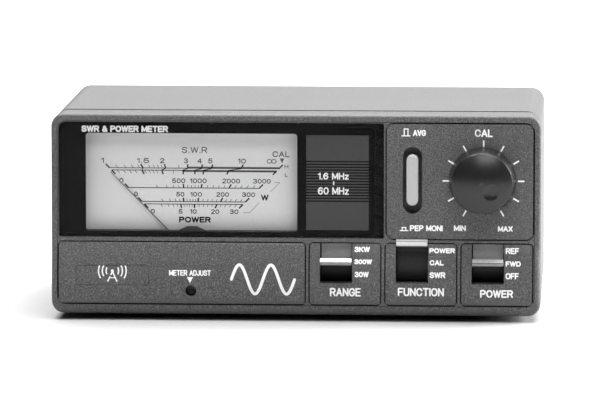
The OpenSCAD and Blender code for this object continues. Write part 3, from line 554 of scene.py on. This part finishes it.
# The panel's words: left, right, foot, top and stroke
PANEL_WORDS = (
    ("AVG", 37.1, 41.2, 25.7, 27.7, MIDDLE), ("PEP MONI", 36.2, 46.6, -4.5, -2.6, MIDDLE),
    ("CAL", 56.6, 62.3, 25.5, 28.0, LARGE), ("MIN", 50.1, 53.9, -4.4, -2.5, MIDDLE),
    ("MAX", 64.0, 68.7, -4.5, -2.7, MIDDLE), ("3KW", 18.7, 23.6, -11.2, -9.5, MIDDLE),
    ("300W", 18.7, 24.3, -15.0, -13.4, MIDDLE), ("30W", 18.8, 23.3, -19.1, -17.3, MIDDLE),
    ("RANGE", 11.0, 20.8, -25.2, -22.5, LARGE), ("POWER", 42.4, 50.5, -11.4, -9.8, MIDDLE),
    ("CAL", 42.5, 47.0, -15.2, -13.5, MIDDLE), ("SWR", 42.5, 47.5, -19.2, -17.3, MIDDLE),
    ("FUNCTION", 32.5, 47.1, -25.0, -22.3, LARGE), ("REF", 66.5, 70.7, -11.5, -9.6, MIDDLE),
    ("FWD", 66.5, 71.3, -15.4, -13.7, MIDDLE), ("OFF", 66.5, 70.7, -19.4, -17.4, MIDDLE),
    ("POWER", 58.5, 68.9, -25.3, -22.8, LARGE), ("METER ADJUST", -40.0, -26.7, -19.0, -17.2, SMALL),
)
ADJUST_ARROW = ((-34.35, -19.4), (-33.35, -21.3), (-32.35, -19.4))

# Where the push button's two signs stand: left, right, foot, box left, box right, box top
BUTTON_SIGNS = ((33.5, 36.3, 25.6, 34.2, 35.7, 28.1), (33.0, 35.7, -4.5, 33.6, 35.1, -3.2))
SIGN_LINE = 0.32

# The knob's ticks: middle, inner and outer radius, width, number, and the angles of the first and of one step
KNOB_X, KNOB_Z = 59.4, 11.55
TICK_IN, TICK_OUT, TICK_W = 10.85, 12.9, 0.5
TICKS, TICK_FIRST, TICK_TURN = 11, -150, 30

# The sine wave: left, right, middle height, reach, number of turns, stroke, steps along it, thickness
SINE_X0, SINE_X1, SINE_Z = -20.2, -0.2, -20.0
SINE_REACH, SINE_TURNS, SINE_W, SINE_STEPS = 4.6, 2, 0.95, 72
SINE_THICK = 0.04

# The mast sign: foot, stroke, half its width and height, its tie, the aerial's ball, and the waves round it
MAST_X, MAST_Z, MAST_W = -58.0, -21.0, 0.42
MAST_HALF, MAST_H = 1.5, 3.2
TIE_HALF, TIE_Z, TIE_W = 0.9, 1.2, 0.3
BALL_Z, BALL_R = 3.4, 0.5
WAVES = (2.0, 3.2, 4.4)
WAVE_ANGLE = 32

# The panel's fields inside their grooves: left, right, foot and top
FIELDS = ((28.85, 75.08, -7.0, 29.48), (-75.08, 3.0, -27.83, -8.6), (4.6, 26.9, -27.83, -8.6),
          (28.6, 50.9, -27.83, -8.6), (52.6, 74.9, -27.83, -8.6))
GROOVE_W = 0.4
# The upright grooves follow the swell in this many pieces
GROOVE_STEPS = 12

# The chromed tips of the levers: name, then middle, front and height of the dark painted reflection on the
# edge
TIPS = (("range", 12.9, -4.3, MIDDLE_TIP_Z), ("function", 36.9, -3.2, -7.556),
        ("power", 60.9, -4.3, MIDDLE_TIP_Z))
TIP_HALF = 4.85
TIP_REFLECTION_HALF = 0.15


def press_sign(x0, x1, foot, box_x0, box_x1, top):
    """A step in a line, raised for the button out and low for the button in."""
    w = SIGN_LINE
    return [bar(x0, x1, foot, foot + w), bar(box_x0, box_x0 + w, foot + w, top),
            bar(box_x1 - w, box_x1, foot + w, top), bar(box_x0 + w, box_x1 - w, top - w, top)]


def knob_tick(degrees):
    across, up = math.sin(math.radians(degrees)), math.cos(math.radians(degrees))
    return stroke(KNOB_X + TICK_IN * across, KNOB_Z + TICK_IN * up,
                  KNOB_X + TICK_OUT * across, KNOB_Z + TICK_OUT * up, TICK_W)


def wave_sign():
    """A plain sine wave."""
    points = [(SINE_X0 + (SINE_X1 - SINE_X0) * i / SINE_STEPS,
               SINE_Z + SINE_REACH * math.sin(2 * math.pi * SINE_TURNS * i / SINE_STEPS))
              for i in range(SINE_STEPS + 1)]
    return strokes(points, SINE_W) + dots(points, SINE_W)


def mast_sign():
    """A plain radio mast with waves on both sides, for the nameplate."""
    x, z, w = MAST_X, MAST_Z, MAST_W
    parts = [stroke(x - MAST_HALF, z, x, z + MAST_H, w), stroke(x + MAST_HALF, z, x, z + MAST_H, w),
             dot(x, z + BALL_Z, BALL_R), stroke(x - TIE_HALF, z + TIE_Z, x + TIE_HALF, z + TIE_Z, TIE_W)]
    for r in WAVES:
        parts += arc(x, z + BALL_Z, r, -WAVE_ANGLE, WAVE_ANGLE, w)
        parts += arc(x, z + BALL_Z, r, 180 - WAVE_ANGLE, 180 + WAVE_ANGLE, w)
    return parts


def panel_prints():
    words = all_lettering(PANEL_WORDS) + [outline(list(ADJUST_ARROW))]
    ticks = [knob_tick(TICK_FIRST + TICK_TURN * i) for i in range(TICKS)]
    signs = [part for sign in BUTTON_SIGNS for part in press_sign(*sign)]
    print_on("panel_lettering", words, panel_surface, WHITE_INK)
    print_on("knob_ticks", ticks, panel_surface, WHITE_INK)
    print_on("button_signs", signs, panel_surface, WHITE_INK)
    print_on("wave_sign", wave_sign(), panel_surface, WHITE_INK, thick=SINE_THICK)
    print_on("mast_sign", mast_sign(), nameplate_surface, WHITE_INK)


def groove_shadows():
    """Painted shade on the floors of the panel's grooves, where their walls keep the light off."""
    parts, g = [], GROOVE_W
    for x0, x1, z0, z1 in FIELDS:
        rise = (z1 - z0 + 2 * g) / GROOVE_STEPS
        for x in (x0 - g, x1):
            parts += [bar(x, x + g, z0 - g + i * rise, z0 - g + (i + 1) * rise) for i in range(GROOVE_STEPS)]
        parts += [bar(x0, x1, z0 - g, z0), bar(x0, x1, z1, z1 + g)]
    print_on("groove_painted_shade", parts, groove_surface, BLACK_INK_AND_GROOVE_SHADE)


def painted_tip_reflections():
    """A dark painted reflection along the edge of each chromed tip."""
    for name, x, y, z in TIPS:
        line = bar(x - TIP_HALF, x + TIP_HALF, z - TIP_REFLECTION_HALF, z + TIP_REFLECTION_HALF)
        print_on(name + "_tip_painted_reflection", [line], plane(y), SOFT_INK_AND_TIP_REFLECTION, body=name + "_lever")


# ---- mask behind the window ----

# A print's back reaches this far into the mask
MASK_ROOT = 0.001
# The grey band: its box, and its dark lines by number, first foot, pitch and height
BAND = (3.3, 23.1, -4.6, 25.6)
BAND_LINES, BAND_LINE_Z, BAND_PITCH, BAND_LINE_H = 15, 4.4, 0.9, 0.45
MASK_WORDS = (("SWR & POWER METER", -68.0, -40.5, 26.2, 28.3, 0.52), ("1.6 MHz", 7.0, 16.8, 11.5, 13.7, 0.4),
              ("60 MHz", 7.0, 16.8, 6.7, 9.1, 0.4))
# The upright dash between the two frequencies
RANGE_DASH = (11.8, 12.2, 9.8, 10.9)
BAND_THICK, BAND_LINE_THICK, MASK_WORDS_THICK = 0.01, 0.02, 0.04


def mask_prints():
    on_mask = plane(front_of("window_mask") + MASK_ROOT)
    feet = [BAND_LINE_Z + BAND_PITCH * i for i in range(BAND_LINES)]
    lines = [bar(BAND[0], BAND[1], z, z + BAND_LINE_H) for z in feet]
    words = all_lettering(MASK_WORDS) + [bar(*RANGE_DASH)]
    print_on("mask_band", [bar(*BAND)], on_mask, BAND_INK, thick=BAND_THICK)
    print_on("mask_lines", lines, on_mask, BLACK_INK_AND_GROOVE_SHADE, thick=BAND_LINE_THICK)
    print_on("mask_lettering", words, on_mask, WHITE_INK, thick=MASK_WORDS_THICK)


# ---- dial ----

# The pointer's pivot, and the pointer's angle from upright at both ends of the scales
PIVOT_X = -33.1
PIVOT_Z = -13.3
SWEEP_0 = -44.0
SWEEP_1 = 44.9

# Heights of the scales' lines above the pivot: the two of the SWR scale, then the three of the power scale
H_LINE, L_LINE, P3000_LINE, P300_LINE, P30_LINE = 27.5, 26.8, 21.2, 16.8, 16.0
# The places of 1, 1.5, 2, 3, 4, 5, 10 and infinity along the two lines of the SWR scale
H_MAJORS = (0.0, 0.158, 0.299, 0.458, 0.562, 0.634, 0.824, 1.0)
L_MAJORS = (0.0, 0.1445, 0.268, 0.42, 0.512, 0.577, 0.754, 1.0)
# From this one on, both lines are heavy
THREE = 3
SWR_MINORS = (1.1, 1.2, 1.3, 1.4, 1.6, 1.7, 1.8, 1.9, 2.5)
# The SWR scale's small ticks stand at the reflected share of the voltage, raised to these powers
H_POWER, L_POWER = 1.1, 1.25
# Each power scale: its line, the power law of its ticks, and the side on which they stand
POWER_SCALES = ((P3000_LINE, 0.5, 1), (P300_LINE, 0.53, 1), (P30_LINE, 0.6, -1))
POWER_MAJORS = (0, 5, 10, 20, 30)
POWER_MINORS = (1, 2, 3, 4, 6, 7, 8, 9, 12, 14, 16, 18, 22, 24, 26, 28)
FULL_POWER = 30

# Widths of the lines and ticks, lengths of the ticks, and near and far edge of the heavy part beside a line
LINE_W, MAJOR_W, MINOR_W = 0.26, 0.46, 0.2
MAJOR_L, SWR_MINOR_L, POWER_MINOR_L = 1.25, 1.0, 0.9
HEAVY_0, HEAVY_1 = 0.13, 0.5
# The strokes that join the lines of the SWR scale stop this far inside them
JOIN_GAP = 0.1

NUMERAL_W = 0.27
# The numerals of each scale: foot and top of the row, then left edge, right edge and words
DIAL_ROWS = (
    (15.75, 17.35, ((-62.4, -61.4, "1"), (-50.9, -47.0, "1.5"), (-43.5, -42.1, "2"), (-35.9, -34.6, "3"),
                    (-31.7, -30.2, "4"), (-28.2, -26.8, "5"), (-18.7, -16.2, "10"))),
    (9.4, 10.95, ((-56.5, -55.2, "0"), (-39.7, -35.5, "500"), (-34.0, -28.7, "1000"), (-23.7, -18.1, "2000"),
                  (-13.9, -8.3, "3000"))),
    (5.1, 6.6, ((-51.8, -50.6, "0"), (-38.4, -35.8, "50"), (-33.9, -30.2, "100"), (-25.6, -21.6, "200"),
                (-17.4, -13.3, "300"))),
    (-0.4, 1.1, ((-46.5, -45.2, "0"), (-37.6, -36.4, "5"), (-34.0, -31.9, "10"), (-27.3, -24.7, "20"),
                 (-21.3, -18.6, "30"))),
)
INFINITY_X = -8.0
LOOP_RX, LOOP_RZ, LOOP_W, LOOP_STEPS = 0.72, 0.6, 0.24, 24
# The other words: left, right, foot, top and stroke
BLACK_WORDS = (("POWER", -37.5, -27.4, -3.2, -1.3, 0.48), ("W", -11.4, -9.0, 4.0, 5.9, 0.42))
GREY_WORDS = (("S.W.R", -36.6, -28.5, 19.0, 21.0, 0.32), ("CAL", -7.7, -2.3, 17.9, 19.8, 0.34),
              ("H", -3.9, -2.7, 14.3, 15.5, 0.22), ("L", -3.8, -2.9, 11.6, 12.8, 0.22))
CAL_ARROW = ((-5.4, 17.5), (-4.7, 15.9), (-4.0, 17.5))
# The thin lines from the W to its scales
LEADERS = ((-7.1, 9.8, -5.4, 9.8), (-5.4, 9.8, -8.5, 6.8), (-11.9, 3.4, -15.0, 0.1), (-15.0, 0.1, -17.0, 0.1))
LEADER_W = 0.13
BLACK_THICK, GREY_THICK = 0.01, 0.012


def dial_x(height, fraction):
    """Where a pointer at that fraction of its sweep crosses that height above the pivot."""
    return PIVOT_X + height * math.tan(math.radians(SWEEP_0 + (SWEEP_1 - SWEEP_0) * fraction))


def dial_tick(height, fraction, length, w):
    """A radial tick from the line at that height above the pivot, upward for a positive length."""
    end = height + length
    return stroke(dial_x(height, fraction), PIVOT_Z + height, dial_x(end, fraction), PIVOT_Z + end, w)


def dial_line(height):
    z = PIVOT_Z + height
    return bar(dial_x(height, 0), dial_x(height, 1), z - LINE_W / 2, z + LINE_W / 2)


def swr_fraction(swr, power):
    return ((swr - 1) / (swr + 1)) ** power


def infinity(x, z):
    """The sign for infinity, as two rings side by side."""
    parts = []
    turns = [2 * math.pi * i / LOOP_STEPS for i in range(LOOP_STEPS + 1)]
    for side in (-LOOP_RX, LOOP_RX):
        ring = [(x + side + LOOP_RX * math.cos(a), z + LOOP_RZ * math.sin(a)) for a in turns]
        parts += strokes(ring, LOOP_W)
    return parts


def swr_scale():
    """The black and the grey parts of the SWR scale, which has an H line and an L line."""
    black = [dial_line(H_LINE), dial_line(L_LINE)]
    h_z, l_z = PIVOT_Z + H_LINE, PIVOT_Z + L_LINE
    grey = [bar(dial_x(H_LINE, H_MAJORS[THREE]), dial_x(H_LINE, 1), h_z + HEAVY_0, h_z + HEAVY_1),
            bar(dial_x(L_LINE, L_MAJORS[THREE]), dial_x(L_LINE, 1), l_z - HEAVY_1, l_z - HEAVY_0)]
    for i, (h, l) in enumerate(zip(H_MAJORS, L_MAJORS)):
        black += [dial_tick(H_LINE, h, MAJOR_L, MAJOR_W), dial_tick(L_LINE, l, -MAJOR_L, MAJOR_W)]
        if 0 < i < len(H_MAJORS) - 1:
            black.append(stroke(dial_x(H_LINE, h), h_z - JOIN_GAP, dial_x(L_LINE, l), l_z + JOIN_GAP,
                                LINE_W))
    for s in SWR_MINORS:
        grey += [dial_tick(H_LINE, swr_fraction(s, H_POWER), SWR_MINOR_L, MINOR_W),
                 dial_tick(L_LINE, swr_fraction(s, L_POWER), -SWR_MINOR_L, MINOR_W)]
    return black, grey


def power_scales():
    """The black and the grey parts of the three power scales."""
    black, grey = [], []
    for height, power, way in POWER_SCALES:
        black.append(dial_line(height))
        black += [dial_tick(height, (v / FULL_POWER) ** power, MAJOR_L * way, MAJOR_W) for v in POWER_MAJORS]
        grey += [dial_tick(height, (v / FULL_POWER) ** power, POWER_MINOR_L * way, MINOR_W)
                 for v in POWER_MINORS]
    return black, grey


def dial_prints():
    swr_black, swr_grey = swr_scale()
    power_black, power_grey = power_scales()
    numerals = [(words, x0, x1, z0, z1, NUMERAL_W) for z0, z1, row in DIAL_ROWS for x0, x1, words in row]
    swr_row = DIAL_ROWS[0]
    black = (swr_black + power_black + all_lettering(numerals)
             + infinity(INFINITY_X, (swr_row[0] + swr_row[1]) / 2) + all_lettering(BLACK_WORDS))
    grey = (swr_grey + power_grey + all_lettering(GREY_WORDS) + [outline(list(CAL_ARROW))]
            + [stroke(*ends, LEADER_W) for ends in LEADERS])
    on_dial = plane(front_of("dial_plate"))
    print_on("dial_scales", black, on_dial, DIAL_INK, thick=BLACK_THICK)
    print_on("dial_scales_grey", grey, on_dial, SOFT_INK_AND_TIP_REFLECTION, thick=GREY_THICK)


# ---- floor, light and camera, in metres ----

# The paper sweep: half its width, its front edge, start, radius and steps of its curve, and its top
PAPER_SIDE, PAPER_FRONT, PAPER_BACK, PAPER_RADIUS, PAPER_STEPS, PAPER_TOP = 6.0, -4.0, 3.0, 1.2, 12, 3.0
AIR = 0.05
# Each lamp: name, place, the point that it faces, size and watts
LAMPS = (("overhead_softbox", (0.0, 0.45, 1.3), (0.0, 0.45, 0.0), (1.6, 2.2), 94.0),
         ("right_softbox", (1.3, 0.55, 0.55), (0.0, 0.05, 0.03), (0.9, 0.8), 58.0),
         ("front_softbox", (0.3, -1.5, 1.5), (0.0, 0.0, 0.03), (1.2, 0.8), 14.0))
# The camera: the point that it faces and its distance in the case's millimetres, and its angles in degrees
CAMERA_AIM = (1.43, 0.0, 5.15)
CAMERA_DISTANCE = 1794.9
CAMERA_AZIMUTH = 3.198
CAMERA_ELEVATION = 6.751
CAMERA_LENS = 340.7
CAMERA_SENSOR = 36.0
CAMERA_NEAR, CAMERA_FAR = 0.05, 50.0


def studio():
    """A pale floor that curves up behind the part."""
    profile = [(PAPER_FRONT, 0.0)]
    for i in range(PAPER_STEPS + 1):
        a = math.pi / 2 * i / PAPER_STEPS
        profile.append((PAPER_BACK + PAPER_RADIUS * math.sin(a), PAPER_RADIUS - PAPER_RADIUS * math.cos(a)))
    profile.append((PAPER_BACK + PAPER_RADIUS, PAPER_TOP))
    bm = bmesh.new()
    rows = [[bm.verts.new((x, y, z)) for x in (-PAPER_SIDE, PAPER_SIDE)] for y, z in profile]
    for a, b in zip(rows, rows[1:]):
        face = bm.faces.new((a[0], a[1], b[1], b[0]))
        face.smooth = True
    sweep = new_object("studio_sweep", bm)
    dress(sweep, plain("sweep_paper", (0.42, 0.42, 0.42), 0.95, spread=0.01, grain_mm=4.0, specular=0.0))


def lamp(name, place, aim, size, watts):
    data = bpy.data.lights.new(name, "AREA")
    data.shape = "RECTANGLE"
    data.size, data.size_y = size
    data.energy = watts
    obj = bpy.data.objects.new(name, data)
    obj.location = place
    obj.rotation_euler = (Vector(aim) - Vector(place)).to_track_quat("-Z", "Y").to_euler()
    bpy.context.scene.collection.objects.link(obj)


def light():
    world = bpy.data.worlds.new("studio_air")
    bpy.context.scene.world = world
    world.use_nodes = True
    air = world.node_tree.nodes["Background"]
    air.inputs["Color"].default_value = (1.0, 1.0, 1.0, 1.0)
    air.inputs["Strength"].default_value = AIR
    for row in LAMPS:
        lamp(*row)


def camera():
    data = bpy.data.cameras.new("photo_camera")
    data.lens = CAMERA_LENS
    data.sensor_width = CAMERA_SENSOR
    data.clip_start, data.clip_end = CAMERA_NEAR, CAMERA_FAR
    obj = bpy.data.objects.new("photo_camera", data)
    bpy.context.scene.collection.objects.link(obj)
    az, el = math.radians(CAMERA_AZIMUTH), math.radians(CAMERA_ELEVATION)
    away = Vector((math.sin(az) * math.cos(el), -math.cos(az) * math.cos(el), math.sin(el)))
    obj.location = at(*CAMERA_AIM) + away * CAMERA_DISTANCE * MM
    obj.rotation_euler = (-away).to_track_quat("-Z", "Y").to_euler()
    bpy.context.scene.camera = obj


camera()
studio()
light()
bpy.context.scene.view_settings.view_transform = "Standard"
dress_cad_nodes()
for node, edge_mm in FINER.items():
    finer(node, edge_mm)
meter_front()
panel_prints()
groove_shadows()
painted_tip_reflections()
mask_prints()
dial_prints()
